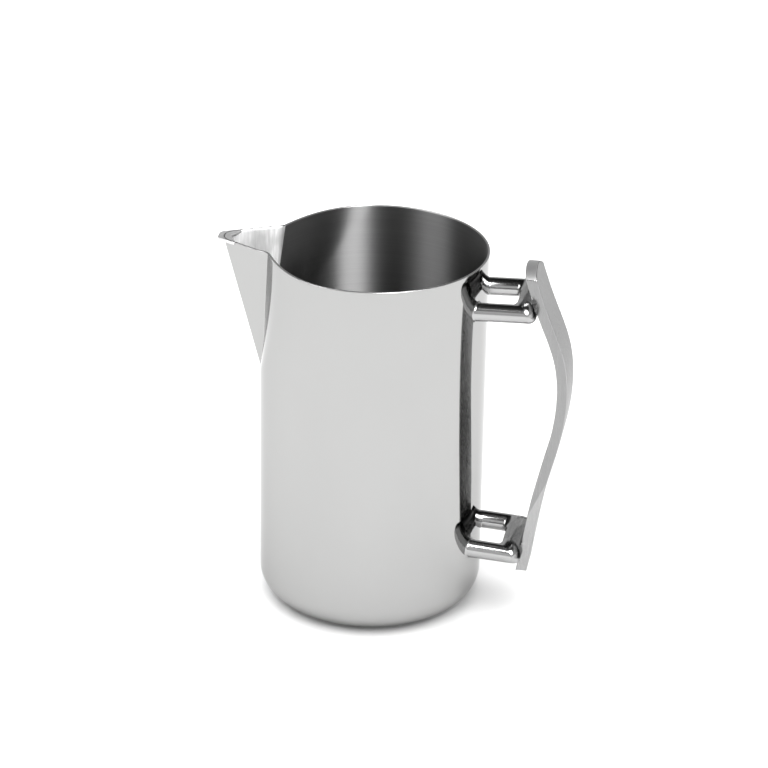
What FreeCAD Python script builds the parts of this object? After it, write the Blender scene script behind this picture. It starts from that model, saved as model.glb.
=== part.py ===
import FreeCAD, Part
import math
import os

os.makedirs("parts", exist_ok=True)

Vec = FreeCAD.Vector

# Water pitcher in sheet steel, in millimetres.
# Origin: centre of the base, on the surface it stands on. +Z is up the body's axis,
# +X points to the handle and -X to the spout, so XZ is the plane of symmetry.

# Driving dimensions: body
BODY_RADIUS = 59.0            # outside of the straight wall
BODY_HEIGHT = 196.0           # base to rim
SHEET = 1.2                   # wall, floor and spout sheet
BASE_CORNER_RADIUS = 15.0     # outside radius between wall and floor

# Driving dimensions: spout
SPOUT_DROP = 76.0             # rim down to the foot where the folded spout leaves the wall
RIDGE_REACH = 20.4            # ridge beyond the straight wall, at rim height
CREASE_PINCH = 7.3            # how far the crease runs inside the straight wall, at rim height
CREASE_HALF_WIDTH = 20.2      # half the distance between the two creases, at rim height
FLANK_ANGLE = 29.0            # each flank to the plane of symmetry, at rim height, degrees
CREASE_LAND = 2.0             # edge of the body sheet that the spout is welded to
SHOULDER_MID = 47.0           # direction of the shoulder's middle point, degrees from the spout
SHOULDER_PINCH = 2.8          # that point's distance inside the straight wall
SHOULDER_END = 80.0           # where the wall is round again, degrees from the spout

# Driving dimensions: pouring lip, a flat arrowhead plate on the spout's nose
LIP_PAST_RIDGE = 2.6          # its front edge beyond the spout's ridge
LIP_THICKNESS = 1.5
LIP_FRONT_HALF_WIDTH = 4.4
LIP_LENGTH = 10.5             # front edge to the end of its two arms
LIP_NOTCH_DEPTH = 6.5         # front edge to the bottom of its notch
LIP_OVERHANG = 0.4            # how far its sides stand out beyond the flanks
LIP_CORNER_RADIUS = 2.0

# Driving dimensions: handle loops, two bent rods with their feet on the wall
ROD_RADIUS = 4.8
ROD_SPACING = 34.4            # centre to centre of a loop's two legs
UPPER_LOOP_DROP = 23.4        # rod centre at the wall, below the rim
UPPER_LOOP_TILT = 2.0         # rises outwards, degrees
LOWER_LOOP_HEIGHT = 36.6      # rod centre at the wall, above the base
LOWER_LOOP_TILT = -3.5        # falls outwards, degrees
FOOT_FILLET = 0.9             # polished fillet between each leg and the wall
SEAT_DEPTH = 0.6              # how deep each cross rod is bedded into the grip bar

# Driving dimensions: grip bar, a bowed flat bar that stands outside both loops
GRIP_WIDTH = 26.0
GRIP_THICKNESS = 5.6
GRIP_LOW = 22.7               # height of its lower end
GRIP_DROP = 5.6               # the two corners of its upper end, below the rim
GRIP_CROWN = 3.9              # how far the upper end is arched above those corners
# Its centre line: share of the way from GRIP_LOW to the rim, and distance outside the wall.
GRIP_BOW = (
    (0.000, 24.1),
    (0.155, 28.1),
    (0.314, 33.4),
    (0.453, 39.2),
    (0.589, 41.9),
    (0.721, 39.3),
    (0.848, 31.0),
    (1.000, 21.8),
)
# A flat is ground along each side of its lower end. It starts on the outer edge,
# runs out on the inner edge further down, and leans in by HEEL_FLAT_ANGLE.
HEEL_FLAT_START = 56.9        # above the lower end, on the outer edge
HEEL_FLAT_END = 33.0          # above the lower end, on the inner edge
HEEL_FLAT_ANGLE = 12.0        # degrees

MARGIN = 30.0                 # how far a cutting solid passes what it cuts
TINY = 1e-6

GRIP_HIGH = BODY_HEIGHT - GRIP_DROP
LIP_REACH = RIDGE_REACH + LIP_PAST_RIDGE


def save(shape, node):
    """Write one node as parts/NODE.step."""
    shape.exportStep("parts/" + node + ".step")


def line(start, end):
    return Part.LineSegment(start, end).toShape()


def arc(start, middle, end):
    return Part.Arc(start, middle, end).toShape()


def polar(radius, angle, height):
    """Point at an angle from the spout's direction, on the +Y side."""
    turn = math.radians(angle)
    return Vec(-radius * math.cos(turn), radius * math.sin(turn), height)


def mirrored(point):
    """The same point on the other side of the plane of symmetry."""
    return Vec(point.x, -point.y, point.z)


def mirrored_edge(edge):
    return edge.mirror(Vec(0, 0, 0), Vec(0, 1, 0))


def crease_slope():
    """Run of the crease plane along +X for each millimetre of height."""
    return CREASE_PINCH / SPOUT_DROP


def crease_foot(radius):
    """Where the crease plane meets a wall of this radius, in the plane of symmetry."""
    rise = (BODY_RADIUS - radius) / crease_slope()
    return Vec(-radius, 0, BODY_HEIGHT - SPOUT_DROP + rise)


def shoulder_edge(crease, radius):
    """Rim curve from the crease to where the wall is round again."""
    middle = polar(radius - SHOULDER_PINCH, SHOULDER_MID, BODY_HEIGHT)
    end = polar(radius, SHOULDER_END, BODY_HEIGHT)
    turn = math.radians(SHOULDER_END)
    curve = Part.BSplineCurve()
    curve.interpolate(
        Points=[crease, middle, end],
        InitialTangent=(middle - crease).normalize(),
        FinalTangent=Vec(math.sin(turn), math.cos(turn), 0),
    )
    return curve.toShape()


def upper_form(inset):
    """Everything inside the sheet between the spout's foot and the rim.

    The crease plane cuts it off. inset is 0 for the outside of the sheet, SHEET for the inside.
    """
    radius = BODY_RADIUS - inset
    foot = crease_foot(radius)
    land = CREASE_LAND * inset / SHEET
    crease = Vec(-BODY_RADIUS + CREASE_PINCH, CREASE_HALF_WIDTH - land, BODY_HEIGHT)
    high_end = polar(radius, SHOULDER_END, BODY_HEIGHT)
    low_end = polar(radius, SHOULDER_END, foot.z)
    high_shoulder = shoulder_edge(crease, radius)
    low_shoulder = arc(foot, polar(radius, SHOULDER_END / 2, foot.z), low_end)
    high_back = arc(high_end, Vec(radius, 0, BODY_HEIGHT), mirrored(high_end))
    low_back = arc(low_end, Vec(radius, 0, foot.z), mirrored(low_end))
    chord = line(mirrored(crease), crease)
    faces = [
        Part.Face(Part.Wire([low_shoulder, low_back, mirrored_edge(low_shoulder)])),
        Part.Face(Part.Wire([chord, high_shoulder, high_back, mirrored_edge(high_shoulder)])),
        Part.makeRuledSurface(low_shoulder, high_shoulder),
        Part.makeRuledSurface(low_back, high_back),
        Part.makeRuledSurface(mirrored_edge(low_shoulder), mirrored_edge(high_shoulder)),
        Part.Face(Part.makePolygon([foot, crease, mirrored(crease), foot])),
    ]
    shell = Part.makeShell(faces)
    shell.sewShape()
    return Part.makeSolid(shell)


def lower_form(inset):
    """Everything inside the sheet from the floor up to the spout's foot."""
    radius = BODY_RADIUS - inset
    blank = Part.makeCylinder(radius, crease_foot(radius).z - inset, Vec(0, 0, inset))
    floor_edge = [e for e in blank.Edges if e.Closed and abs(e.Vertexes[0].Z - inset) < TINY]
    return blank.makeFillet(BASE_CORNER_RADIUS - inset, floor_edge)


def body_shell():
    """The drawn body: floor, rounded corner, wall and the two pinched shoulders."""
    outside = lower_form(0).fuse(upper_form(0))
    inside = lower_form(SHEET).fuse(upper_form(SHEET))
    return outside.cut(inside).removeSplitter()


def nose_radius():
    """Radius of the spout's rounded nose, tangent to both flanks, at rim height."""
    flank = math.radians(FLANK_ANGLE)
    reach = RIDGE_REACH + CREASE_PINCH
    return (CREASE_HALF_WIDTH * math.cos(flank) - reach * math.sin(flank)) / (1 - math.sin(flank))


def nose_outline(inset):
    """Rim outline of the spout: flank, rounded nose, flank and the chord between the creases."""
    flank = math.radians(FLANK_ANGLE)
    centre_x = -BODY_RADIUS - RIDGE_REACH + nose_radius()
    radius = nose_radius() - inset
    crease = Vec(-BODY_RADIUS + CREASE_PINCH, CREASE_HALF_WIDTH - inset / math.cos(flank), BODY_HEIGHT)
    tangent = Vec(centre_x - radius * math.sin(flank), radius * math.cos(flank), BODY_HEIGHT)
    nose = Vec(centre_x - radius, 0, BODY_HEIGHT)
    return Part.Wire([
        line(crease, tangent),
        arc(tangent, nose, mirrored(tangent)),
        line(mirrored(tangent), mirrored(crease)),
        line(mirrored(crease), crease),
    ])


def spout_wedge(inset):
    """Cone from a point on the crease plane up to the spout's rim outline."""
    ridge_slope = RIDGE_REACH / SPOUT_DROP
    across_ridge = inset / math.cos(math.atan(ridge_slope))
    rise = across_ridge / (ridge_slope + crease_slope())
    foot = Vec(-BODY_RADIUS + rise * crease_slope(), 0, BODY_HEIGHT - SPOUT_DROP + rise)
    return Part.makeLoft([Part.Vertex(foot), nose_outline(inset)], True, True)


def pouring_lip():
    """Flat arrowhead plate that closes the nose of the spout, flush with the rim."""
    flank = math.radians(FLANK_ANGLE)
    front = -BODY_RADIUS - LIP_REACH
    back = front + LIP_LENGTH
    wide = CREASE_HALF_WIDTH - (CREASE_PINCH - BODY_RADIUS - back) * math.tan(flank)
    low = BODY_HEIGHT - LIP_THICKNESS
    notch = Vec(front + LIP_NOTCH_DEPTH, 0, low)
    corner = Vec(front, LIP_FRONT_HALF_WIDTH, low)
    outer = Vec(back, wide + LIP_OVERHANG, low)
    inner = Vec(back, wide - SHEET / math.cos(flank), low)
    outline = [notch, inner, outer, corner, mirrored(corner), mirrored(outer), mirrored(inner), notch]
    plate = Part.Face(Part.makePolygon(outline)).extrude(Vec(0, 0, LIP_THICKNESS))
    front_edges = []
    for edge in plate.Edges:
        ends = edge.Vertexes
        if abs(ends[0].X - front) < TINY and abs(ends[0].Z - ends[1].Z) > TINY:
            front_edges.append(edge)
    return plate.makeFillet(LIP_CORNER_RADIUS, front_edges)


def spout(lip):
    """Folded sheet spout between the two creases, with the lip's seat cut out of it."""
    return spout_wedge(0).cut(spout_wedge(SHEET)).cut(lip)


def grip_side(side):
    """One face of the grip bar in the plane of symmetry: +1 is outside, -1 is inside."""
    rise = BODY_HEIGHT - GRIP_LOW
    places = [Vec(BODY_RADIUS + out, 0, GRIP_LOW + share * rise) for share, out in GRIP_BOW]
    centre = Part.BSplineCurve()
    centre.interpolate(places)
    points = []
    for place in places:
        along = centre.tangent(centre.parameter(place))[0]
        across = Vec(along.z, 0, -along.x)
        points.append(place + across * (side * GRIP_THICKNESS / 2))
    curve = Part.BSplineCurve()
    curve.interpolate(points)
    return curve


def point_at_height(curve, height):
    """Point of a rising curve at a height."""
    low, high = curve.FirstParameter, curve.LastParameter
    while high - low > TINY:
        middle = (low + high) / 2
        if curve.value(middle).z < height:
            low = middle
        else:
            high = middle
    return curve.value(low)


def arched_front():
    """Front view of the bar, arched at the top, as a solid that runs through the bar along X."""
    half = GRIP_WIDTH / 2
    low = GRIP_LOW - MARGIN
    left, right = Vec(0, -half, GRIP_HIGH), Vec(0, half, GRIP_HIGH)
    low_left, low_right = Vec(0, -half, low), Vec(0, half, low)
    wire = Part.Wire([
        line(low_left, low_right),
        line(low_right, right),
        arc(right, Vec(0, 0, GRIP_HIGH + GRIP_CROWN), left),
        line(left, low_left),
    ])
    reach = BODY_RADIUS + max(out for share, out in GRIP_BOW) + MARGIN
    return Part.Face(wire).extrude(Vec(reach, 0, 0))


def heel_cutter(inner, outer, side):
    """What is ground off one side of the lower end: side is +1 or -1 along Y."""
    edge = Vec(0, side * GRIP_WIDTH / 2, 0)
    start = point_at_height(outer, GRIP_LOW + HEEL_FLAT_START) + edge
    end = point_at_height(inner, GRIP_LOW + HEEL_FLAT_END) + edge
    along = (end - start).normalize()
    outward = Vec(0, side, 0)
    across = Vec(-along.z, 0, along.x)
    lean = math.radians(HEEL_FLAT_ANGLE)
    into = across * math.cos(lean) - outward * math.sin(lean)
    normal = outward * math.cos(lean) + across * math.sin(lean)
    first = start - along * MARGIN
    last = start + along * (GRIP_HIGH - GRIP_LOW)
    face = Part.Face(Part.makePolygon([first, last, last + into * MARGIN, first + into * MARGIN, first]))
    return face.extrude(normal * MARGIN)


def grip_bar(loops):
    """The bowed bar, arched above, with its heel flats and a seat for each loop."""
    inner, outer = grip_side(-1), grip_side(1)
    section = Part.Face(Part.Wire([
        inner.toShape(),
        line(inner.EndPoint, outer.EndPoint),
        outer.toShape(),
        line(outer.StartPoint, inner.StartPoint),
    ]))
    section.translate(Vec(0, -GRIP_WIDTH, 0))
    bar = section.extrude(Vec(0, 2 * GRIP_WIDTH, 0)).common(arched_front())
    for side in (1, -1):
        bar = bar.cut(heel_cutter(inner, outer, side))
    for loop in loops:
        bar = bar.cut(loop)
    return bar


def leg_length(height, tilt):
    """Leg from the wall to the cross rod's centre, so that the rod beds into the bar."""
    face = grip_side(-1).toShape()
    direction = Vec(math.cos(math.radians(tilt)), 0, math.sin(math.radians(tilt)))
    start = Vec(BODY_RADIUS, 0, height)
    short, long = 0.0, point_at_height(grip_side(-1), height).x - BODY_RADIUS
    while long - short > TINY:
        middle = (short + long) / 2
        gap = face.distToShape(Part.Vertex(start + direction * middle))[0]
        if gap > ROD_RADIUS - SEAT_DEPTH:
            short = middle
        else:
            long = middle
    return short


def handle_loop(height, tilt):
    """Two legs and a cross rod with ball corners; the feet are coped and filleted to the wall."""
    direction = Vec(math.cos(math.radians(tilt)), 0, math.sin(math.radians(tilt)))
    wall = Vec(BODY_RADIUS, 0, height)
    cross = wall + direction * leg_length(height, tilt)
    root = wall - direction * (BODY_RADIUS / 2)
    half = Vec(0, ROD_SPACING / 2, 0)
    rod = Part.makeCylinder(ROD_RADIUS, ROD_SPACING, cross - half, Vec(0, 1, 0))
    for side in (1, -1):
        leg = Part.makeCylinder(ROD_RADIUS, (cross - root).Length, root + half * side, direction)
        rod = rod.fuse([leg, Part.makeSphere(ROD_RADIUS, cross + half * side)])
    plug = Part.makeCylinder(BODY_RADIUS, 2 * MARGIN, Vec(0, 0, height - MARGIN))
    joined = plug.fuse(rod).removeSplitter()
    feet = []
    for edge in joined.Edges:
        middle = edge.valueAt((edge.FirstParameter + edge.LastParameter) / 2)
        on_wall = abs(math.hypot(middle.x, middle.y) - BODY_RADIUS) < TINY * 1000
        if on_wall and abs(middle.z - height) < 2 * ROD_RADIUS:
            feet.append(edge)
    return joined.makeFillet(FOOT_FILLET, feet).cut(plug)


def main():
    lip = pouring_lip()
    loops = {
        "upper_loop": handle_loop(BODY_HEIGHT - UPPER_LOOP_DROP, UPPER_LOOP_TILT),
        "lower_loop": handle_loop(LOWER_LOOP_HEIGHT, LOWER_LOOP_TILT),
    }
    save(body_shell(), "body_shell")
    save(spout(lip), "spout")
    save(lip, "pouring_lip")
    for node, loop in loops.items():
        save(loop, node)
    save(grip_bar(loops.values()), "grip_bar")


main()
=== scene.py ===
"""Stainless steel water pitcher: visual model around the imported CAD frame, with its studio."""

import logging
import math
from dataclasses import dataclass
from enum import Enum

import bmesh
import bpy
from mathutils import Matrix, Vector


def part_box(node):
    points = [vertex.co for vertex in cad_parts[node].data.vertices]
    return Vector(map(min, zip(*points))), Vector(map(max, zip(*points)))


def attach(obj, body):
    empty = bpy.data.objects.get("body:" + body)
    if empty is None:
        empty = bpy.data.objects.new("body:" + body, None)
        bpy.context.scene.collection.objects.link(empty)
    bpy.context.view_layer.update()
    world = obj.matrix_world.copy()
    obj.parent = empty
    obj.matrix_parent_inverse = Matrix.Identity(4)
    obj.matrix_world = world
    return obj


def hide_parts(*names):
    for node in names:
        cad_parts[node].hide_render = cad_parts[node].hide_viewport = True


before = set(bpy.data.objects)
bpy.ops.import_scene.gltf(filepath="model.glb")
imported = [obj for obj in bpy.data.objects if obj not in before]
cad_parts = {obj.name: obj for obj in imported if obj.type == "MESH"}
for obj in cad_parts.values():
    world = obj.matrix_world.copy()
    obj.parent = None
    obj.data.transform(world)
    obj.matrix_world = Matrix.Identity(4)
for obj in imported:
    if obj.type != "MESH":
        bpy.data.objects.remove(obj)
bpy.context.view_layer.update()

LOG = logging.getLogger("pitcher")
MM = 0.001
ROOT = "root"
TINY = 1e-6
RIM_BAND = 0.02 * MM
CORNER_ANGLE = math.radians(60)


class Slot(Enum):
    """Material slots of the record."""

    SHEET = "polished_sheet"
    ROD = "polished_rod"
    BAR = "satin_bar"


class Layer(Enum):
    """Material places on a piece of bent sheet, in the order the Solidify modifier counts them."""

    OUTSIDE = 0
    INSIDE = 1
    EDGE = 2


# ---------------------------------------------------------------- small tools for the bench


def deselect() -> None:
    """Leave edit mode and deselect every object."""
    if bpy.context.object and bpy.context.object.mode != "OBJECT":
        bpy.ops.object.mode_set(mode="OBJECT")
    bpy.ops.object.select_all(action="DESELECT")


def take(piece: bpy.types.Object) -> bpy.types.Object:
    """Make one object the only selected and active one.

    Args:
        piece: the object to work on.

    Returns:
        The same object.
    """
    deselect()
    piece.select_set(True)
    bpy.context.view_layer.objects.active = piece
    return piece


def finish_primitive(name: str) -> bpy.types.Object:
    """Name the primitive that was just added, and its mesh.

    Args:
        name: the name a maker would use for the piece.

    Returns:
        The new object.
    """
    piece = bpy.context.object
    piece.name = name
    piece.data.name = name
    return piece


def select_edges(piece: bpy.types.Object, wanted) -> int:
    """Select the edges for which a test holds, in edit mode with edge selection.

    Args:
        piece: the mesh object, already active.
        wanted: a function of one edge that returns True or False.

    Returns:
        How many edges were selected.
    """
    bpy.ops.object.mode_set(mode="EDIT")
    bpy.ops.mesh.select_mode(type="EDGE")
    bpy.ops.mesh.select_all(action="DESELECT")
    shape = bmesh.from_edit_mesh(piece.data)
    count = 0
    for edge in shape.edges:
        if wanted(edge):
            edge.select_set(True)
            count += 1
    bmesh.update_edit_mesh(piece.data)
    return count


def apply_modifier(piece: bpy.types.Object, kind: str, **settings) -> None:
    """Add a modifier with these settings and apply it.

    Args:
        piece: the object to change.
        kind: the modifier's type.
        settings: its properties by name.
    """
    take(piece)
    modifier = piece.modifiers.new(kind.title(), kind)
    for key, value in settings.items():
        setattr(modifier, key, value)
    bpy.ops.object.modifier_apply(modifier=modifier.name)


def face_outwards(piece: bpy.types.Object) -> None:
    """Merge doubles and turn every face of a closed piece outwards."""
    take(piece)
    bpy.ops.object.mode_set(mode="EDIT")
    bpy.ops.mesh.select_all(action="SELECT")
    bpy.ops.mesh.remove_doubles(threshold=TINY)
    bpy.ops.mesh.normals_make_consistent(inside=False)
    bpy.ops.object.mode_set(mode="OBJECT")


def smooth(piece: bpy.types.Object, degrees: float = 35.0) -> None:
    """Shade a piece smooth, with sharp edges above an angle."""
    take(piece)
    bpy.ops.object.shade_smooth_by_angle(angle=math.radians(degrees))


# ---------------------------------------------------------------- finishes


class Shading:
    """One node material, with short calls to add and link its nodes."""

    MIX_FACTOR = 0
    MIX_FIRST = 6
    MIX_SECOND = 7
    MIX_RESULT = 2

    def __init__(self, name: str) -> None:
        """Start an empty metal material with one Principled shader."""
        self.material = bpy.data.materials.new(name)
        self.material.use_nodes = True
        self.tree = self.material.node_tree
        self.shader = self.tree.nodes["Principled BSDF"]
        self.place = self.add("ShaderNodeTexCoord").outputs["Object"]

    def add(self, kind: str, **settings) -> bpy.types.Node:
        """Add a node and set its properties or its inputs by name.

        Args:
            kind: the node's type.
            settings: property names, or input names with spaces written as underscores.

        Returns:
            The new node.
        """
        node = self.tree.nodes.new(kind)
        for key, value in settings.items():
            label = key.replace("_", " ")
            if label in node.inputs:
                node.inputs[label].default_value = value
            else:
                setattr(node, key, value)
        return node

    def link(self, source, target) -> None:
        """Link one socket to another."""
        self.tree.links.new(source, target)

    def metal(self, colour: tuple[float, float, float], roughness: float, lean: float = 0.0,
              graze: float = 1.0) -> None:
        """Set the uniform numbers of a metal on the shader's own sockets.

        Args:
            colour: reflection seen face on.
            roughness: of the surface.
            lean: how much stronger the roughness is across the grain than along it.
            graze: reflection seen along the surface.
        """
        self.shader.inputs["Base Color"].default_value = (*colour, 1.0)
        self.shader.inputs["Metallic"].default_value = 1.0
        self.shader.inputs["Roughness"].default_value = roughness
        self.shader.inputs["Anisotropic"].default_value = lean
        self.shader.inputs["Specular Tint"].default_value = (graze, graze, graze, 1.0)

    def noise(self, scale: tuple[float, float, float], detail: float, roughness: float = 0.5):
        """Noise stretched along the piece's own axes.

        Args:
            scale: repeats per metre along X, Y and Z.
            detail: octaves of the noise.
            roughness: how much the finer octaves count.

        Returns:
            The noise node's value socket.
        """
        mapping = self.add("ShaderNodeMapping", Scale=scale)
        self.link(self.place, mapping.inputs["Vector"])
        noise = self.add("ShaderNodeTexNoise", Scale=1.0, Detail=detail, Roughness=roughness)
        self.link(mapping.outputs["Vector"], noise.inputs["Vector"])
        return noise.outputs["Fac"]

    def spread(self, value, low: float, high: float, start: float = 0.0, end: float = 1.0):
        """Map the part of a value between start and end onto low to high.

        Args:
            value: socket to map.
            low: result at start and below.
            high: result at end and above.
            start: lower end of the part that counts.
            end: upper end of the part that counts.

        Returns:
            The result's socket.
        """
        span = self.add("ShaderNodeMapRange", From_Min=start, From_Max=end, To_Min=low, To_Max=high)
        self.link(value, span.inputs["Value"])
        return span.outputs["Result"]

    def tint(self, value, dark: tuple[float, float, float], light: tuple[float, float, float]) -> None:
        """Vary the metal's colour between two tones.

        Args:
            value: 0 to 1 socket.
            dark: colour at 0.
            light: colour at 1.
        """
        mix = self.add("ShaderNodeMix", data_type="RGBA")
        mix.inputs[self.MIX_FIRST].default_value = (*dark, 1.0)
        mix.inputs[self.MIX_SECOND].default_value = (*light, 1.0)
        self.link(value, mix.inputs[self.MIX_FACTOR])
        self.link(mix.outputs[self.MIX_RESULT], self.shader.inputs["Base Color"])

    def bump(self, value, depth: float, strength: float, under=None):
        """Raise the surface by a value, over an earlier bump if one is given.

        Args:
            value: height socket.
            depth: height of a value of 1, in metres.
            strength: share of the effect that is used.
            under: normal socket of an earlier bump.

        Returns:
            The bump's normal socket, which is also linked to the shader.
        """
        bump = self.add("ShaderNodeBump", Strength=strength, Distance=depth)
        self.link(value, bump.inputs["Height"])
        if under is not None:
            self.link(under, bump.inputs["Normal"])
        self.link(bump.outputs["Normal"], self.shader.inputs["Normal"])
        return bump.outputs["Normal"]


@dataclass(frozen=True)
class MirrorFinish:
    """Buffed steel: a clear reflection over faint ripples, with hairline marks from wiping."""

    name: str
    colour: tuple[float, float, float]
    roughness: float = 0.05
    ripple: float = 14.0
    ripple_depth: float = 0.00006
    graze: float = 0.75
    haze_scale: tuple[float, float, float] = (22.0, 22.0, 15.0)
    tone_scale: tuple[float, float, float] = (40.0, 40.0, 25.0)
    tone_drop: float = 0.97
    mark_scale: tuple[float, float, float] = (700.0, 700.0, 2600.0)
    mark_depth: float = 0.000002

    def material(self) -> bpy.types.Material:
        """Build the finish.

        Returns:
            The material.
        """
        shading = Shading(self.name)
        shading.metal(self.colour, self.roughness, graze=self.graze)
        cloudy = shading.noise(self.haze_scale, 3.0)
        shading.link(
            shading.spread(cloudy, self.roughness * 0.7, self.roughness * 1.5),
            shading.shader.inputs["Roughness"],
        )
        dark = tuple(tone * self.tone_drop for tone in self.colour)
        shading.tint(shading.noise(self.tone_scale, 4.0), dark, self.colour)
        waves = shading.noise((self.ripple, self.ripple, self.ripple * 0.6), 1.0)
        first = shading.bump(waves, self.ripple_depth, 1.0)
        marks = shading.noise(self.mark_scale, 2.0)
        shading.bump(marks, self.mark_depth, 0.25, first)
        return shading.material


@dataclass(frozen=True)
class BrushedFinish:
    """Sheet steel brushed round the axis: fine rings that draw highlights out into upright bands."""

    name: str
    dark: tuple[float, float, float]
    light: tuple[float, float, float]
    roughness: float = 0.45
    lean: float = 0.99
    quarter_turn: float = 0.25
    ring_scale: tuple[float, float, float] = (6.0, 6.0, 2400.0)
    patch_scale: tuple[float, float, float] = (60.0, 60.0, 500.0)
    depth: float = 0.00002

    def material(self) -> bpy.types.Material:
        """Build the finish.

        Returns:
            The material.
        """
        shading = Shading(self.name)
        shading.metal(self.light, self.roughness, self.lean)
        tangent = shading.add("ShaderNodeTangent", direction_type="RADIAL", axis="Z")
        shading.shader.inputs["Anisotropic Rotation"].default_value = self.quarter_turn
        shading.link(tangent.outputs["Tangent"], shading.shader.inputs["Tangent"])
        rings = shading.noise(self.ring_scale, 5.0, 0.7)
        shading.tint(rings, self.dark, self.light)
        shading.link(
            shading.spread(rings, self.roughness * 0.85, self.roughness * 1.25),
            shading.shader.inputs["Roughness"],
        )
        first = shading.bump(rings, self.depth, 0.5)
        patches = shading.noise(self.patch_scale, 3.0)
        shading.bump(patches, self.depth, 0.3, first)
        return shading.material


@dataclass(frozen=True)
class SatinFinish:
    """Steel with a soft grain along its length and broader streaks of tone."""

    name: str
    dark: tuple[float, float, float]
    light: tuple[float, float, float]
    roughness: float = 0.3
    grain: tuple[float, float, float] = (1500.0, 1500.0, 40.0)
    streaks: tuple[float, float, float] = (90.0, 90.0, 12.0)
    streak_tone: float = 0.95
    streak_range: tuple[float, float] = (0.38, 0.56)
    graze: float = 0.5
    grain_depth: float = 0.00001

    def material(self) -> bpy.types.Material:
        """Build the finish.

        Returns:
            The material.
        """
        shading = Shading(self.name)
        shading.metal(self.light, self.roughness, graze=self.graze)
        lines = shading.noise(self.grain, 4.0, 0.6)
        broad = shading.spread(shading.noise(self.streaks, 2.0), self.streak_tone, 1.0, *self.streak_range)
        both = shading.add("ShaderNodeMath", operation="MULTIPLY")
        shading.link(lines, both.inputs[0])
        shading.link(broad, both.inputs[1])
        deep = tuple(tone * self.streak_tone for tone in self.dark)
        shading.tint(both.outputs[0], deep, self.light)
        shading.link(
            shading.spread(lines, self.roughness * 0.85, self.roughness * 1.2),
            shading.shader.inputs["Roughness"],
        )
        shading.bump(lines, self.grain_depth, 0.35)
        return shading.material


@dataclass(frozen=True)
class FloorFinish:
    """Plain pale tabletop with a barely visible tone of its own."""

    name: str
    colour: tuple[float, float, float] = (0.93, 0.93, 0.93)
    roughness: float = 0.9
    tone_scale: tuple[float, float, float] = (9.0, 9.0, 9.0)
    tone_drop: float = 0.995

    def material(self) -> bpy.types.Material:
        """Build the finish.

        Returns:
            The material.
        """
        shading = Shading(self.name)
        shading.shader.inputs["Base Color"].default_value = (*self.colour, 1.0)
        shading.shader.inputs["Roughness"].default_value = self.roughness
        shading.shader.inputs["Specular IOR Level"].default_value = 0.0
        pale = tuple(tone * self.tone_drop for tone in self.colour)
        shading.tint(shading.noise(self.tone_scale, 2.0), pale, self.colour)
        return shading.material


POLISHED_OUTSIDE = MirrorFinish("polished_outside", (0.385, 0.385, 0.382))
# The inside's rings are real brushing; its low overall tone, far below the outside's, is painted shade
# inside the vessel.
BRUSHED_INSIDE_PAINTED_SHADE = BrushedFinish("brushed_inside_painted_shade", (0.13, 0.13, 0.13), (0.20, 0.20, 0.20))
# The spout's inside is the body's inside sheet painted far lighter: painted light, and its broad half-tone
# streaks are painted reflection streaks; the fine grain is real.
SPOUT_INSIDE_PAINTED_LIGHT = SatinFinish(
    "spout_inside_painted_light", (0.55, 0.55, 0.55), (0.86, 0.86, 0.86), 0.60,
    grain=(900.0, 300.0, 60.0), streaks=(110.0, 60.0, 60.0), streak_tone=0.50)
BUFFED_EDGE = SatinFinish(
    "buffed_edge", (0.34, 0.34, 0.34), (0.40, 0.40, 0.40), 0.30, grain=(500.0, 500.0, 500.0))
# The lip is given about twice the sheet's tone: painted light on its flat top; its roughness is its own.
SATIN_LIP_PAINTED_LIGHT = SatinFinish(
    "satin_lip_painted_light", (0.70, 0.70, 0.70), (0.80, 0.80, 0.80), 0.50, grain=(500.0, 500.0, 500.0))
POLISHED_ROD = MirrorFinish("polished_rod", (0.40, 0.40, 0.40), 0.16, ripple=60.0, ripple_depth=0.00004)
# One satin steel in lit and shaded copies: the narrow sides are darker as painted shade, the ground heel
# and the arched upper end lighter as painted light.
SATIN_BAR_FACE = SatinFinish("satin_bar_face", (0.34, 0.34, 0.34), (0.40, 0.40, 0.40), 0.26)
SATIN_BAR_SIDE_PAINTED_SHADE = SatinFinish("satin_bar_side_painted_shade", (0.25, 0.25, 0.25), (0.29, 0.29, 0.29), 0.26)
SATIN_BAR_HEEL_PAINTED_LIGHT = SatinFinish("satin_bar_heel_painted_light", (0.36, 0.36, 0.36), (0.42, 0.42, 0.42), 0.22)
SATIN_BAR_END_PAINTED_LIGHT = SatinFinish("satin_bar_end_painted_light", (0.50, 0.50, 0.50), (0.58, 0.58, 0.58), 0.50)


# ---------------------------------------------------------------- vessel: body, spout, lip


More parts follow.
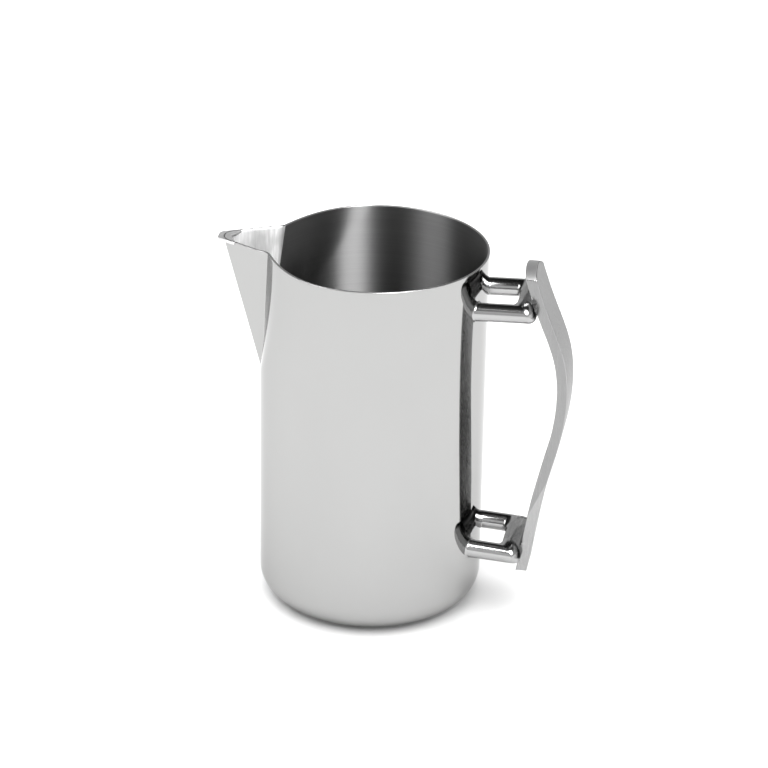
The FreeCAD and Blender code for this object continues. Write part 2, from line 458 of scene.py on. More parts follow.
@dataclass
class Vessel:
    """Sizes and section of the sheet vessel, shared by the body, the spout and the lip, in metres."""

    radius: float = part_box("body_shell")[1].y
    height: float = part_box("body_shell")[1].z
    sheet: float = 1.2 * MM
    corner: float = 15.0 * MM
    drop: float = 76.0 * MM
    ridge_reach: float = 20.4 * MM
    crease_pinch: float = 7.3 * MM
    crease_half: float = 20.2 * MM
    flank: float = math.radians(29.0)
    shoulder_span: float = math.radians(58.7)
    shoulder_growth: float = 0.6
    shoulder_fullness: float = 3.5
    rows: int = 56
    row_crowding: float = 1.25

    @property
    def foot_height(self) -> float:
        """Height where the folded spout leaves the wall."""
        return self.height - self.drop

    def row_shares(self) -> list[float]:
        """Shares of the way from the spout's foot to the rim, closer together near the foot."""
        return [(row / self.rows) ** self.row_crowding for row in range(self.rows + 1)]

    def crease(self, share: float) -> Vector:
        """Outside point of the +Y crease at a share of the way up."""
        return Vector((
            -self.radius + self.crease_pinch * share,
            self.crease_half * share,
            self.foot_height + self.drop * share,
        ))

    def wall(self, share: float, turn: float) -> Vector:
        """Outside point of the wall beside and behind the spout.

        Args:
            share: of the way up from the spout's foot to the rim.
            turn: 0 at the crease, 1 opposite the spout.

        Returns:
            The point, on the +Y side.
        """
        crease = self.crease(share)
        start = math.atan2(crease.y, -crease.x)
        angle = start + (math.pi - start) * turn
        pinch = self.radius - math.hypot(crease.x, crease.y)
        span = self.shoulder_span * max(share, TINY) ** self.shoulder_growth
        along = min((angle - start) / span, 1.0)
        fade = (1.0 - along) ** 2 * (1.0 + self.shoulder_fullness * along)
        radius = self.radius - pinch * fade
        return Vector((-radius * math.cos(angle), radius * math.sin(angle), crease.z))

    def inner_crease(self, share: float) -> Vector:
        """Inside point of the +Y crease, on the mitre between the flank and the wall."""
        crease = self.crease(share)
        ahead = self.wall(share, 0.01) - crease
        wall_in = Vector((ahead.y, -ahead.x, 0.0)).normalized()
        flank_in = Vector((math.sin(self.flank), -math.cos(self.flank), 0.0))
        middle = (wall_in + flank_in).normalized()
        return crease + middle * (self.sheet / middle.dot(flank_in))

    @property
    def nose_radius(self) -> float:
        """Radius of the spout's rounded nose at rim height."""
        reach = self.ridge_reach + self.crease_pinch
        room = self.crease_half * math.cos(self.flank) - reach * math.sin(self.flank)
        return room / (1 - math.sin(self.flank))


@dataclass
class BodyShell:
    """The drawn body: floor, rounded corner, wall and pinched shoulders, notched for the spout."""

    vessel: Vessel
    segments: int = 288
    floor_shares: tuple[float, ...] = (0.12, 0.4, 0.7, 0.9, 1.0)
    corner_steps: int = 14
    wall_steps: int = 12
    edge_rounding: float = 0.4 * MM

    def rings(self) -> list[tuple[float, float]]:
        """Radius and height of each ring of the outside, from near the middle of the floor up."""
        size = self.vessel
        flat = size.radius - size.corner
        rings = [(flat * share, 0.0) for share in self.floor_shares]
        for step in range(1, self.corner_steps + 1):
            turn = math.pi / 2 * step / self.corner_steps
            rings.append((flat + size.corner * math.sin(turn), size.corner * (1 - math.cos(turn))))
        straight = size.foot_height - size.corner
        for step in range(1, self.wall_steps + 1):
            rings.append((size.radius, size.corner + straight * step / self.wall_steps))
        rings += [(size.radius, size.crease(share).z) for share in size.row_shares()[1:]]
        return rings

    def turned_blank(self) -> bpy.types.Object:
        """Raise the outside ring by ring from a small circle in the floor."""
        rings = self.rings()
        deselect()
        bpy.ops.mesh.primitive_circle_add(
            vertices=self.segments, radius=rings[0][0], fill_type="TRIFAN", location=(0, 0, 0))
        piece = finish_primitive("body_shell_steel")
        bpy.ops.object.mode_set(mode="EDIT")
        bpy.ops.mesh.select_mode(type="EDGE")
        bpy.ops.mesh.select_all(action="DESELECT")
        shape = bmesh.from_edit_mesh(piece.data)
        for edge in shape.edges:
            edge.select_set(edge.is_boundary)
        bmesh.update_edit_mesh(piece.data)
        for before, after in zip(rings, rings[1:]):
            bpy.ops.mesh.extrude_region_move(
                TRANSFORM_OT_translate={"value": (0.0, 0.0, after[1] - before[1])})
            grow = after[0] / before[0]
            bpy.ops.transform.resize(value=(grow, grow, 1.0))
        bpy.ops.object.mode_set(mode="OBJECT")
        return piece

    def open_notch(self, piece: bpy.types.Object) -> None:
        """Slit the wall above the spout's foot and draw the two sides apart into the shoulders."""
        size = self.vessel
        foot = size.foot_height - TINY

        def on_slit(edge) -> bool:
            """Tell whether an edge stands in the plane of symmetry above the foot."""
            return all(v.co.x < 0 and abs(v.co.y) < TINY and v.co.z > foot for v in edge.verts)

        take(piece)
        select_edges(piece, on_slit)
        bpy.ops.mesh.edge_split(type="EDGE")
        bpy.ops.object.mode_set(mode="OBJECT")
        shape = bmesh.new()
        shape.from_mesh(piece.data)
        for vert in shape.verts:
            if vert.co.z < foot + 2 * TINY:
                continue
            side = vert.co.y
            if abs(side) < TINY:
                side = sum(face.calc_center_median().y for face in vert.link_faces)
            turn = math.atan2(abs(vert.co.y), -vert.co.x) / math.pi
            share = (vert.co.z - size.foot_height) / size.drop
            place = size.wall(share, turn)
            vert.co = Vector((place.x, math.copysign(place.y, side), place.z))
        shape.to_mesh(piece.data)
        shape.free()

    def thicken(self, piece: bpy.types.Object) -> None:
        """Give the sheet its thickness inwards and mitre its edge along the creases."""
        size = self.vessel
        count = len(piece.data.vertices)
        creases = {}
        for vert in piece.data.vertices:
            share = (vert.co.z - size.foot_height) / size.drop
            away = Vector((vert.co.x, abs(vert.co.y), vert.co.z)) - size.crease(share)
            if share > TINY and away.length < TINY:
                creases[vert.index] = math.copysign(1.0, vert.co.y)
        apply_modifier(
            piece, "SOLIDIFY", thickness=size.sheet, offset=-1.0, use_even_offset=True,
            material_offset=Layer.INSIDE.value, material_offset_rim=Layer.EDGE.value)
        for index, side in creases.items():
            share = (piece.data.vertices[index].co.z - size.foot_height) / size.drop
            place = size.inner_crease(share)
            piece.data.vertices[count + index].co = Vector((place.x, place.y * side, place.z))
        level_rim(piece, size, count)

    def build(self) -> bpy.types.Object:
        """Build and dress the body.

        Returns:
            The finished object.
        """
        piece = self.turned_blank()
        self.open_notch(piece)
        take(piece)
        bpy.ops.object.mode_set(mode="EDIT")
        bpy.ops.mesh.select_all(action="SELECT")
        bpy.ops.mesh.normals_make_consistent(inside=False)
        bpy.ops.object.mode_set(mode="OBJECT")
        # The body's inside takes the darkened brushed finish: painted shade inside the vessel.
        dress_sheet(piece, BRUSHED_INSIDE_PAINTED_SHADE)
        self.thicken(piece)
        round_rim(piece, self.vessel, self.edge_rounding)
        smooth(piece)
        return piece


def dress_sheet(piece: bpy.types.Object, inside: BrushedFinish | SatinFinish) -> None:
    """Put the outside, inside and edge finishes on a piece of sheet, in Layer order."""
    for finish in (POLISHED_OUTSIDE, inside, BUFFED_EDGE):
        piece.data.materials.append(made(finish))


def level_rim(piece: bpy.types.Object, size: Vessel, count: int) -> None:
    """Bring the inside corners of a thickened sheet's rim level with the outside ones.

    Args:
        piece: the thickened sheet.
        size: the vessel it belongs to.
        count: how many corners the sheet had before it was thickened.
    """
    for index in range(count):
        if piece.data.vertices[index].co.z > size.height - TINY:
            piece.data.vertices[count + index].co.z = size.height


def round_rim(piece: bpy.types.Object, size: Vessel, rounding: float) -> None:
    """Ease both corners of a sheet's rim.

    Args:
        piece: the thickened sheet.
        size: the vessel it belongs to.
        rounding: how far the bevel reaches from each corner.
    """

    def on_rim(edge) -> bool:
        """Tell whether an edge runs round a corner of the rim."""
        high = all(v.co.z > size.height - RIM_BAND for v in edge.verts)
        return high and len(edge.link_faces) == 2 and edge.calc_face_angle(0.0) > CORNER_ANGLE

    take(piece)
    select_edges(piece, on_rim)
    bpy.ops.mesh.bevel(offset=rounding, segments=3, profile=0.5, affect="EDGES", material=Layer.EDGE.value)
    bpy.ops.object.mode_set(mode="OBJECT")


_MADE: dict[str, bpy.types.Material] = {}


def made(finish) -> bpy.types.Material:
    """Return a finish's material, built once.

    Args:
        finish: any of the finish classes.

    Returns:
        The shared material.
    """
    if finish.name not in _MADE:
        _MADE[finish.name] = finish.material()
    return _MADE[finish.name]


@dataclass
class Spout:
    """The folded V of sheet between the two creases."""

    vessel: Vessel
    flank_steps: int = 22
    flank_crowding: float = 1.4
    dip: float = 0.5 * MM
    dip_end: float = 7.0 * MM
    dip_peak: float = 4.0 / 27.0
    nose_steps: int = 20
    point_share: float = 0.004
    mitre_start: float = 0.03
    edge_rounding: float = 0.35 * MM

    def rim_outline(self) -> list[Vector]:
        """Outside points at rim height, from the +Y crease round the nose to the -Y crease."""
        size = self.vessel
        radius = size.nose_radius
        centre = Vector((-size.radius - size.ridge_reach + radius, 0.0, size.height))
        crease = size.crease(1.0)
        tangent = centre + Vector((-math.sin(size.flank), math.cos(size.flank), 0.0)) * radius
        inward = Vector((math.sin(size.flank), -math.cos(size.flank), 0.0))
        points = []
        for step in range(self.flank_steps):
            share = (step / self.flank_steps) ** self.flank_crowding
            along = min((tangent - crease).length * share / self.dip_end, 1.0)
            hollow = self.dip * along * (1.0 - along) ** 2 / self.dip_peak
            points.append(crease.lerp(tangent, share) + inward * hollow)
        sweep = math.pi - 2 * size.flank
        for step in range(self.nose_steps // 2 + 1):
            angle = math.pi / 2 + size.flank + sweep * step / self.nose_steps
            points.append(centre + Vector((math.cos(angle), math.sin(angle), 0.0)) * radius)
        return points + [Vector((p.x, -p.y, p.z)) for p in reversed(points[:-1])]

    def build(self) -> bpy.types.Object:
        """Build and dress the spout.

        Returns:
            The finished object.
        """
        size = self.vessel
        outline = self.rim_outline()
        shares = size.row_shares()
        deselect()
        bpy.ops.mesh.primitive_grid_add(
            x_subdivisions=len(outline) - 1, y_subdivisions=size.rows, size=1.0, location=(0, 0, 0))
        piece = finish_primitive("spout_steel")
        foot = size.crease(0.0)
        for vert in piece.data.vertices:
            column = round((vert.co.x + 0.5) * (len(outline) - 1))
            row = round((vert.co.y + 0.5) * size.rows)
            vert.co = foot.lerp(outline[column], max(shares[row], self.point_share))
        take(piece)
        # The spout's inside takes the lightened satin finish: painted light and painted reflection
        # streaks.
        dress_sheet(piece, SPOUT_INSIDE_PAINTED_LIGHT)
        count = len(piece.data.vertices)
        face_away(piece)
        creases = {}
        for vert in piece.data.vertices:
            share = (vert.co.z - size.foot_height) / size.drop
            away = Vector((vert.co.x, abs(vert.co.y), vert.co.z)) - size.crease(share)
            if share > self.mitre_start and away.length < 5 * TINY:
                creases[vert.index] = (share, math.copysign(1.0, vert.co.y))
        apply_modifier(
            piece, "SOLIDIFY", thickness=size.sheet, offset=-1.0, use_even_offset=True,
            material_offset=Layer.INSIDE.value, material_offset_rim=Layer.EDGE.value)
        for index, (share, side) in creases.items():
            place = size.inner_crease(share)
            piece.data.vertices[count + index].co = Vector((place.x, place.y * side, place.z))
        level_rim(piece, size, count)
        round_rim(piece, size, self.edge_rounding)
        smooth(piece)
        return piece


def face_away(piece: bpy.types.Object) -> None:
    """Turn an open sheet's faces away from the body's axis."""
    total = sum((p.center.x * p.normal.x + p.center.y * p.normal.y) * p.area for p in piece.data.polygons)
    if total < 0:
        take(piece)
        bpy.ops.object.mode_set(mode="EDIT")
        bpy.ops.mesh.select_all(action="SELECT")
        bpy.ops.mesh.flip_normals()
        bpy.ops.object.mode_set(mode="OBJECT")


@dataclass
class PouringLip:
    """Flat arrowhead plate on the nose of the spout, flush with the rim."""

    vessel: Vessel
    reach: float = 23.0 * MM
    thickness: float = 1.5 * MM
    front_half: float = 4.4 * MM
    length: float = 10.5 * MM
    notch: float = 6.5 * MM
    overhang: float = 0.35 * MM
    corner: float = 2.0 * MM
    corner_steps: int = 6
    edge_rounding: float = 0.35 * MM

    def outline(self) -> list[Vector]:
        """Corners of the plate at its top, anticlockwise from the notch."""
        size = self.vessel
        front = -size.radius - self.reach
        back = front + self.length
        wide = size.crease_half - (size.crease_pinch - size.radius - back) * math.tan(size.flank)
        arm = wide - size.sheet / math.cos(size.flank)
        half = [
            Vector((back, arm, 0.0)),
            Vector((back, wide + self.overhang, 0.0)),
            Vector((front, self.front_half, 0.0)),
        ]
        middle = Vector((front + self.notch, 0.0, 0.0))
        return [middle, *half, *[Vector((p.x, -p.y, 0.0)) for p in reversed(half)]]

    def build(self) -> bpy.types.Object:
        """Build and dress the lip.

        Returns:
            The finished object.
        """
        outline = self.outline()
        front = outline[3].x
        deselect()
        bpy.ops.mesh.primitive_circle_add(
            vertices=len(outline), radius=1.0, fill_type="NGON", location=(0, 0, 0))
        piece = finish_primitive("pouring_lip_steel")
        for vert, place in zip(piece.data.vertices, outline):
            vert.co = place + Vector((0.0, 0.0, self.vessel.height))
        bpy.ops.object.mode_set(mode="EDIT")
        bpy.ops.mesh.select_all(action="SELECT")
        bpy.ops.mesh.extrude_region_move(TRANSFORM_OT_translate={"value": (0.0, 0.0, -self.thickness)})
        face_outwards(piece)
        select_edges(piece, lambda e: all(abs(v.co.x - front) < TINY for v in e.verts)
                     and abs(e.verts[0].co.z - e.verts[1].co.z) > TINY)
        bpy.ops.mesh.bevel(offset=self.corner, segments=self.corner_steps, affect="EDGES")
        select_edges(piece, lambda e: e.calc_face_angle(0.0) > CORNER_ANGLE)
        bpy.ops.mesh.bevel(offset=self.edge_rounding, segments=3, affect="EDGES")
        bpy.ops.object.mode_set(mode="OBJECT")
        # Lighter steel on the lip: painted light.
        piece.data.materials.append(made(SATIN_LIP_PAINTED_LIGHT))
        smooth(piece)
        return piece


# ---------------------------------------------------------------- handle: loops and grip bar


@dataclass
class HandleLoop:
    """One U of round rod: two legs with coped, filleted feet and a cross rod behind the bar."""

    name: str
    node: str
    height: float
    tilt: float
    wall_radius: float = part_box("body_shell")[1].y
    rod: float = 4.8 * MM
    spacing: float = 34.4 * MM
    fillet: float = 0.9 * MM
    sunk: float = 0.4 * MM
    bend: float = 3.6 * MM
    bend_steps: int = 10
    smooth_below: float = 50.0
    sides: int = 56
    fillet_steps: int = 5

    def __post_init__(self) -> None:
        """Work out the leg, from the wall's outermost line to the cross rod's centre."""
        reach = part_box(self.node)[1].x - self.rod - self.wall_radius
        self.leg = reach / math.cos(self.tilt)

    def wall_gap(self, y: float, z: float) -> float:
        """Where a leg's line at (y, z) of its own frame meets the round wall."""
        bow = math.sqrt(self.wall_radius ** 2 - y * y) - self.wall_radius
        return (bow + z * math.sin(self.tilt)) / math.cos(self.tilt)

    def build(self) -> bpy.types.Object:
        """Build and dress the loop.

        Returns:
            The finished object.
        """
        half = self.spacing / 2
        deselect()
        bpy.ops.mesh.primitive_circle_add(
            vertices=self.sides, radius=self.rod, fill_type="NOTHING",
            location=(0, -half, 0), rotation=(0, math.pi / 2, 0))
        piece = finish_primitive(self.name)
        bpy.ops.object.transform_apply(location=True, rotation=True, scale=True)
        section = [vert.co.copy() for vert in piece.data.vertices]
        stations = self.stations()
        bpy.ops.object.mode_set(mode="EDIT")
        bpy.ops.mesh.select_mode(type="EDGE")
        bpy.ops.mesh.select_all(action="SELECT")
        for _ in stations[1:]:
            bpy.ops.mesh.extrude_region_move(TRANSFORM_OT_translate={"value": (self.leg, 0.0, 0.0)})
        bpy.ops.object.mode_set(mode="OBJECT")
        for index, vert in enumerate(piece.data.vertices):
            corner = section[index % self.sides]
            vert.co = stations[index // self.sides](corner.y + half, corner.z)
        self.bend_corners(piece)
        self.close_feet(piece)
        turn = Matrix.Rotation(-self.tilt, 4, "Y")
        piece.data.transform(Matrix.Translation((self.wall_radius, 0.0, self.height)) @ turn)
        face_outwards(piece)
        piece.data.materials.append(made(POLISHED_ROD))
        smooth(piece, self.smooth_below)
        return piece

    def stations(self) -> list:
        """Places of the rod's section along its run, as functions of its own (across, up)."""
        half = self.spacing / 2

        def foot(gap: float, flare: float, side: float):
            """Section near a foot, gap from the wall and flared by the fillet."""
            def place(across: float, up: float) -> Vector:
                """Point of the section."""
                grow = 1.0 + flare / self.rod
                y, z = side * (half - across * grow), up * grow
                return Vector((self.wall_gap(y, z) + gap, y, z))
            return place

        def mitre(side: float):
            """Section on the mitre plane of a corner."""
            return lambda across, up: Vector((self.leg - across, side * (half - across), up))

        rise = [(-self.sunk, self.fillet)]
        for step in range(self.fillet_steps + 1):
            turn = math.pi / 2 * step / self.fillet_steps
            rise.append((self.fillet * (1 - math.cos(turn)), self.fillet * (1 - math.sin(turn))))
        first = [foot(gap, flare, -1.0) for gap, flare in rise]
        last = [foot(gap, flare, 1.0) for gap, flare in reversed(rise)]
        return [*first, mitre(-1.0), mitre(1.0), *last]

    def bend_corners(self, piece: bpy.types.Object) -> None:
        """Round the two mitres into tight bends."""
        half = self.spacing / 2

        def on_mitre(edge) -> bool:
            """Tell whether an edge lies on a mitre plane near its corner."""
            return all(abs(abs(v.co.y) - half - (v.co.x - self.leg)) < TINY
                       and v.co.x > self.leg - 2 * self.rod for v in edge.verts)

        take(piece)
        select_edges(piece, on_mitre)
        bpy.ops.mesh.bevel(offset=self.bend, segments=self.bend_steps, profile=0.5, affect="EDGES")
        bpy.ops.object.mode_set(mode="OBJECT")

    def close_feet(self, piece: bpy.types.Object) -> None:
        """Close the two ends that stand in the wall."""
        take(piece)
        select_edges(piece, lambda e: e.is_boundary)
        bpy.ops.mesh.fill_holes(sides=0)
        bpy.ops.object.mode_set(mode="OBJECT")


@dataclass
class GripBar:
    """The bowed flat bar, arched above, with a flat ground along each side of its lower end.

    bow gives points of the centre line: share of the way from the low end up to the rim, and how far out
    from the wall, in millimetres.
    """

    wall_radius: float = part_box("body_shell")[1].y
    rim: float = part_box("body_shell")[1].z
    width: float = 26.0 * MM
    thickness: float = 5.6 * MM
    low: float = 22.7 * MM
    high: float = 190.4 * MM
    crown: float = 3.9 * MM
    heel_start: float = 56.9 * MM
    heel_end: float = 33.0 * MM
    heel_lean: float = math.radians(12.0)
    edge_rounding: float = 0.45 * MM
    sharp: float = math.radians(40)
    smooth_below: float = 30.0
    rows: int = 90
    columns: int = 12
    side_facing: float = 0.999
    heel_tolerance: float = 0.002
    end_facing: float = 0.85
    tries: int = 20
    bow: tuple[tuple[float, float], ...] = (
        (0.000, 24.1), (0.155, 28.1), (0.314, 33.4), (0.453, 39.2),
        (0.589, 41.9), (0.721, 39.3), (0.848, 31.0), (1.000, 21.8),
    )

    def knots(self) -> list[tuple[float, float]]:
        """Height and distance from the axis of each point of the centre line."""
        rise = self.rim - self.low
        return [(self.low + share * rise, self.wall_radius + out * MM) for share, out in self.bow]

    def centre(self, height: float) -> tuple[float, float]:
        """Centre line at a height, on a smooth curve through the knots.

        Args:
            height: above the base.

        Returns:
            Distance from the axis, and its slope with height.
        """
        knots = self.knots()
        bends = spline_bends(knots)
        index = max(i for i in range(len(knots) - 1) if knots[i][0] <= height or i == 0)
        (z0, x0), (z1, x1) = knots[index], knots[index + 1]
        step = z1 - z0
        a, b = (z1 - height) / step, (height - z0) / step
        m0, m1 = bends[index], bends[index + 1]
        x = a * x0 + b * x1 + ((a ** 3 - a) * m0 + (b ** 3 - b) * m1) * step ** 2 / 6
        slope = (x1 - x0) / step - (3 * a * a - 1) * step * m0 / 6 + (3 * b * b - 1) * step * m1 / 6
        return x, slope

    def face_point(self, height: float, side: float) -> Vector:
        """Point of the outer (+1) or inner (-1) face, square to the centre line at a height."""
        x, slope = self.centre(height)
        across = Vector((1.0, 0.0, -slope)).normalized()
        return Vector((x, 0.0, height)) + across * (side * self.thickness / 2)

    def top(self, y: float) -> float:
        """Height of the arched upper end at a distance from the middle."""
        half = self.width / 2
        radius = (half ** 2 + self.crown ** 2) / (2 * self.crown)
        return self.high + self.crown - radius + math.sqrt(radius ** 2 - y * y)

    def build(self) -> bpy.types.Object:
        """Build and dress the bar.

        Returns:
            The finished object.
        """
        deselect()
        bpy.ops.mesh.primitive_cube_add(size=1.0, location=(0, 0, 0))
        piece = finish_primitive("grip_bar_steel")
        bpy.ops.object.mode_set(mode="EDIT")
        bpy.ops.mesh.select_mode(type="FACE")
        bpy.ops.mesh.select_all(action="SELECT")
        bpy.ops.object.mode_set(mode="OBJECT")
        self.slice(piece, (0.0, 0.0, 1.0), self.rows)
        self.slice(piece, (0.0, 1.0, 0.0), self.columns)
        for vert in piece.data.vertices:
            side = math.copysign(1.0, vert.co.x)
            y = vert.co.y * self.width
            share = vert.co.z + 0.5
            high = self.height_for(self.top(y), side)
            place = self.face_point(self.low + (high - self.low) * share, side)
            vert.co = Vector((place.x, y, place.z))
        for side in (1.0, -1.0):
            self.grind_heel(piece, side)
        face_outwards(piece)
        select_edges(piece, lambda e: e.calc_face_angle(0.0) > self.sharp)
        bpy.ops.mesh.bevel(offset=self.edge_rounding, segments=3, affect="EDGES")
        bpy.ops.object.mode_set(mode="OBJECT")
        self.dress(piece)
        smooth(piece, self.smooth_below)
        return piece

    def dress(self, piece: bpy.types.Object) -> None:
        """Give the broad faces, the narrow sides, the ground heel and the upper end their own copies of
        the satin steel: painted shade on the narrow sides, painted light on the heel and the upper end.
        """
        for finish in (SATIN_BAR_FACE, SATIN_BAR_SIDE_PAINTED_SHADE, SATIN_BAR_HEEL_PAINTED_LIGHT, SATIN_BAR_END_PAINTED_LIGHT):
            piece.data.materials.append(made(finish))
        tilt = math.sin(self.heel_lean)
        # Index 1 is the darker side copy, painted shade; 2 and 3 are the lighter heel and end copies,
        # painted light.
        for face in piece.data.polygons:
            aside = abs(face.normal.y)
            on_heel = abs(aside - math.cos(self.heel_lean)) < self.heel_tolerance
            if aside > self.side_facing:
                face.material_index = 1
            elif on_heel and face.normal.z < -tilt / 2:
                face.material_index = 2
            elif face.normal.z > self.end_facing:
                face.material_index = 3

    def height_for(self, level: float, side: float) -> float:
        """Centre-line height whose point on one face is at a level."""
        guess = level
        for _ in range(self.tries):
            guess += level - self.face_point(guess, side).z
        return guess

    def slice(self, piece: bpy.types.Object, normal: tuple[float, float, float], count: int) -> None:
        """Cut the unit blank into equal slices across a direction."""
        take(piece)
        bpy.ops.object.mode_set(mode="EDIT")
        for step in range(1, count):
            offset = step / count - 0.5
            bpy.ops.mesh.select_all(action="SELECT")
            bpy.ops.mesh.bisect(
                plane_co=tuple(offset * n for n in normal), plane_no=normal, use_fill=False)
        bpy.ops.object.mode_set(mode="OBJECT")

    def grind_heel(self, piece: bpy.types.Object, side: float) -> None:
        """Cut the leaning flat off one side of the lower end and close the cut."""
        edge = Vector((0.0, side * self.width / 2, 0.0))
        start = self.face_point(self.low + self.heel_start, 1.0) + edge
        end = self.face_point(self.low + self.heel_end, -1.0) + edge
        along = (end - start).normalized()
        outward = Vector((0.0, side, 0.0))
        across = Vector((-along.z, 0.0, along.x))
        normal = outward * math.cos(self.heel_lean) + across * math.sin(self.heel_lean)
        take(piece)
        bpy.ops.object.mode_set(mode="EDIT")
        bpy.ops.mesh.select_all(action="SELECT")
        bpy.ops.mesh.bisect(plane_co=start, plane_no=normal, use_fill=True, clear_outer=True)
        bpy.ops.object.mode_set(mode="OBJECT")


def spline_bends(knots: list[tuple[float, float]]) -> list[float]:
    """Second derivatives of a natural cubic spline.

    Args:
        knots: (position, value) pairs in rising order of position.

    Returns:
        One second derivative for each knot.
    """
    count = len(knots)
    bends, weights = [0.0] * count, [0.0] * count
    for i in range(1, count - 1):
        before, after = knots[i][0] - knots[i - 1][0], knots[i + 1][0] - knots[i][0]
        share = before / (before + after)
        pivot = share * bends[i - 1] + 2.0
        bends[i] = (share - 1.0) / pivot
        jump = (knots[i + 1][1] - knots[i][1]) / after - (knots[i][1] - knots[i - 1][1]) / before
        weights[i] = (6.0 * jump / (before + after) - share * weights[i - 1]) / pivot
    bends[-1] = 0.0
    for i in range(count - 2, -1, -1):
        bends[i] = bends[i] * bends[i + 1] + weights[i]
    return bends


# ---------------------------------------------------------------- studio


@dataclass(frozen=True)
class Softbox:
    """One rectangular soft light, aimed at the pitcher; only the steel mirrors it."""

    name: str
    bearing: float
    elevation: float
    distance: float
    size: tuple[float, float]
    watts: float

    def place(self, target: Vector) -> None:
        """Hang the light at its bearing, which is 0 in front along -Y and grows towards +X, in degrees.

        Args:
            target: the point it faces.
        """
        turn, lift = math.radians(self.bearing), math.radians(self.elevation)
        away = Vector((math.sin(turn) * math.cos(lift), -math.cos(turn) * math.cos(lift), math.sin(lift)))
        data = bpy.data.lights.new(self.name, "AREA")
        data.shape = "RECTANGLE"
        data.size, data.size_y = self.size
        data.energy = self.watts
        lamp = bpy.data.objects.new(self.name, data)
        lamp.location = target + away * self.distance
        lamp.rotation_euler = away.to_track_quat("Z", "Y").to_euler()
        lamp.visible_diffuse = False
        bpy.context.scene.collection.objects.link(lamp)


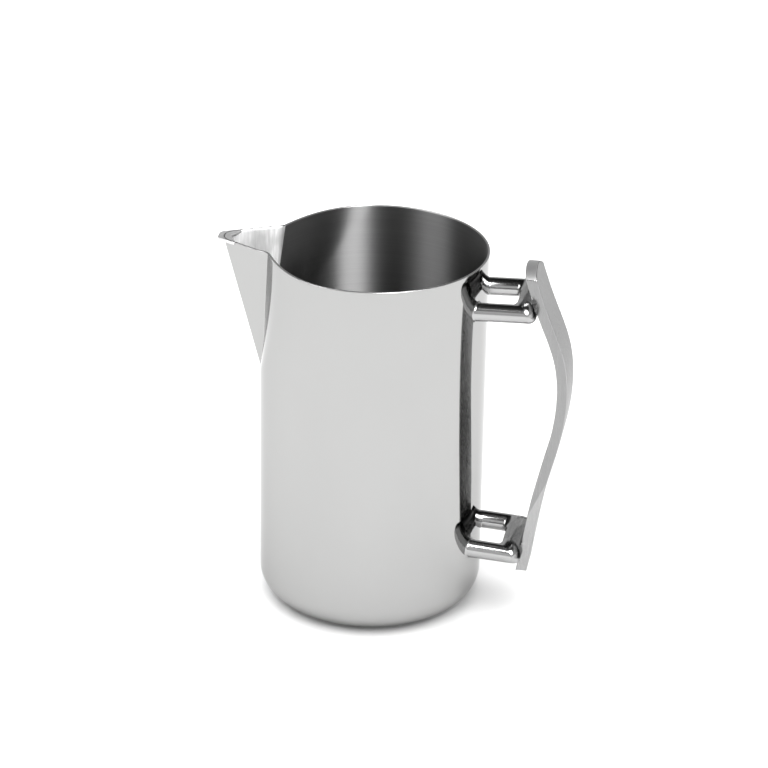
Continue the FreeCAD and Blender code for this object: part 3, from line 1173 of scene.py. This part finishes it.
@dataclass
class Studio:
    """Pale tabletop, soft light and the camera."""

    table_size: float = 40.0
    table_squares: int = 8
    panel_size: float = 5.0
    panel_height: float = 2.4
    panel_watts: float = 222.0
    horizon_tone: float = 0.8
    room_tone: float = 0.015
    haze_low: float = 0.50
    haze_high: float = 0.64
    camera_distance: float = 1.411
    camera_height: float = 0.780
    camera_bearing: float = math.radians(10.0)
    camera_pitch: float = math.radians(25.11)
    camera_yaw: float = math.radians(0.24)
    camera_roll: float = math.radians(1.03)
    lens: float = 139.7
    sensor: float = 36.0
    middle: float = 0.11
    softboxes: tuple[Softbox, ...] = (
        Softbox("key_softbox", bearing=36.0, elevation=46.0, distance=1.5, size=(0.62, 0.9), watts=44.0),
        Softbox("side_softbox", bearing=-62.0, elevation=46.0, distance=1.6, size=(0.9, 0.9), watts=17.0),
    )

    def table(self) -> None:
        """Lay the tabletop."""
        deselect()
        bpy.ops.mesh.primitive_grid_add(
            x_subdivisions=self.table_squares, y_subdivisions=self.table_squares,
            size=self.table_size, location=(0, 0, 0))
        top = finish_primitive("tabletop")
        top.data.materials.append(made(FloorFinish("pale_tabletop")))

    def sky(self) -> None:
        """Dark room above a pale surround."""
        world = bpy.data.worlds.new("room")
        world.use_nodes = True
        nodes, links = world.node_tree.nodes, world.node_tree.links
        split = nodes.new("ShaderNodeSeparateXYZ")
        links.new(nodes.new("ShaderNodeTexCoord").outputs["Generated"], split.inputs[0])
        haze = nodes.new("ShaderNodeMapRange")
        haze.interpolation_type = "SMOOTHSTEP"
        haze.inputs["From Min"].default_value = self.haze_low
        haze.inputs["From Max"].default_value = self.haze_high
        haze.inputs["To Min"].default_value = self.horizon_tone
        haze.inputs["To Max"].default_value = self.room_tone
        links.new(split.outputs["Z"], haze.inputs["Value"])
        links.new(haze.outputs["Result"], nodes["Background"].inputs["Strength"])
        nodes["Background"].inputs["Color"].default_value = (1.0, 1.0, 1.0, 1.0)
        bpy.context.scene.world = world

    def overhead(self) -> None:
        """Wide soft panel that lights the tabletop but isn't mirrored in the steel."""
        data = bpy.data.lights.new("overhead_panel", "AREA")
        data.size = self.panel_size
        data.energy = self.panel_watts
        lamp = bpy.data.objects.new("overhead_panel", data)
        lamp.location = (0.0, 0.0, self.panel_height)
        lamp.visible_glossy = False
        bpy.context.scene.collection.objects.link(lamp)

    def camera(self) -> None:
        """Stand the camera at its bearing, looking down at the pitcher."""
        turn = self.camera_bearing
        place = Vector((math.sin(turn) * self.camera_distance, -math.cos(turn) * self.camera_distance,
                        self.camera_height))
        heading = turn - self.camera_yaw
        ahead = Vector((-math.sin(heading) * math.cos(self.camera_pitch),
                        math.cos(heading) * math.cos(self.camera_pitch),
                        -math.sin(self.camera_pitch)))
        right = ahead.cross(Vector((0.0, 0.0, 1.0))).normalized()
        up = right.cross(ahead)
        across = right * math.cos(self.camera_roll) + up * math.sin(self.camera_roll)
        above = up * math.cos(self.camera_roll) - right * math.sin(self.camera_roll)
        data = bpy.data.cameras.new("camera")
        data.lens = self.lens
        data.sensor_width = self.sensor
        view = bpy.data.objects.new("camera", data)
        facing = Matrix((across, above, -ahead)).transposed()
        view.matrix_world = Matrix.Translation(place) @ facing.to_4x4()
        bpy.context.scene.collection.objects.link(view)
        bpy.context.scene.camera = view

    def build(self) -> None:
        """Set up everything that isn't the pitcher."""
        scene = bpy.context.scene
        scene.view_settings.view_transform = "Standard"
        self.table()
        self.sky()
        self.overhead()
        for box in self.softboxes:
            box.place(Vector((0.0, 0.0, self.middle)))
        self.camera()


def register(piece: bpy.types.Object, node: str) -> None:
    """Ride a finished piece on the pitcher in place of its CAD node and log it.

    Args:
        piece: the finished piece.
        node: the CAD node that it stands for.
    """
    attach(piece, ROOT)
    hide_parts(node)
    LOG.info("%s replaces %s: %d faces", piece.name, node, len(piece.data.polygons))


def main() -> None:
    """Build the pitcher piece by piece, then the studio round it."""
    logging.basicConfig(level=logging.INFO, format="%(name)s: %(message)s")
    vessel = Vessel()
    register(BodyShell(vessel).build(), "body_shell")
    register(Spout(vessel).build(), "spout")
    register(PouringLip(vessel).build(), "pouring_lip")
    upper = HandleLoop("upper_loop_steel", "upper_loop", height=172.6 * MM, tilt=math.radians(2.0))
    lower = HandleLoop("lower_loop_steel", "lower_loop", height=36.6 * MM, tilt=math.radians(-3.5))
    for loop in (upper, lower):
        register(loop.build(), loop.node)
    register(GripBar().build(), "grip_bar")
    Studio().build()


if __name__ == "__main__":
    main()
